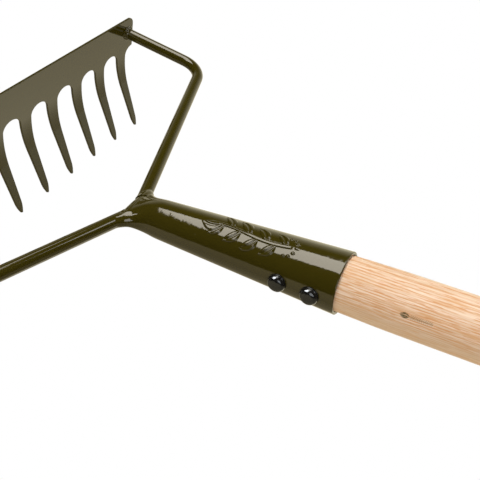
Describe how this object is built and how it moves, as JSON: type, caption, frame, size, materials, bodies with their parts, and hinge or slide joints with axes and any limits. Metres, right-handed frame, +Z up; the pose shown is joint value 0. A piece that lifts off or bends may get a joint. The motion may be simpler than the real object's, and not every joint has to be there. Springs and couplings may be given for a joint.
{
  "type": "garden bow rake",
  "caption": "Long-handled garden rake: ash shaft in a tapered steel socket, two round bow arms and a stamped comb of curved tines.",
  "frame": {"origin": "on the shaft axis at the front end of the parallel shaft, 30 mm behind the socket's mouth", "axes": "+Y along the shaft towards the head, +X to the user's right, +Z up with the tines pointing down"},
  "size_m": [0.3131, 1.5717, 0.0808],
  "materials": {
    "olive_coat": "gloss olive-brown powder coat",
    "black_rivet": "gloss black enamel",
    "ash": "sanded ash under thin satin lacquer"
  },
  "bodies": {
    "root": {"handle": "ash", "socket": "olive_coat", "bow_arm_left": "olive_coat", "bow_arm_right": "olive_coat", "tine_head": "olive_coat", "rivet_front": "black_rivet", "rivet_rear": "black_rivet", "weld_socket_left": "olive_coat", "weld_socket_right": "olive_coat", "weld_head_left": "olive_coat", "weld_head_right": "olive_coat"}
  },
  "joints": []
}
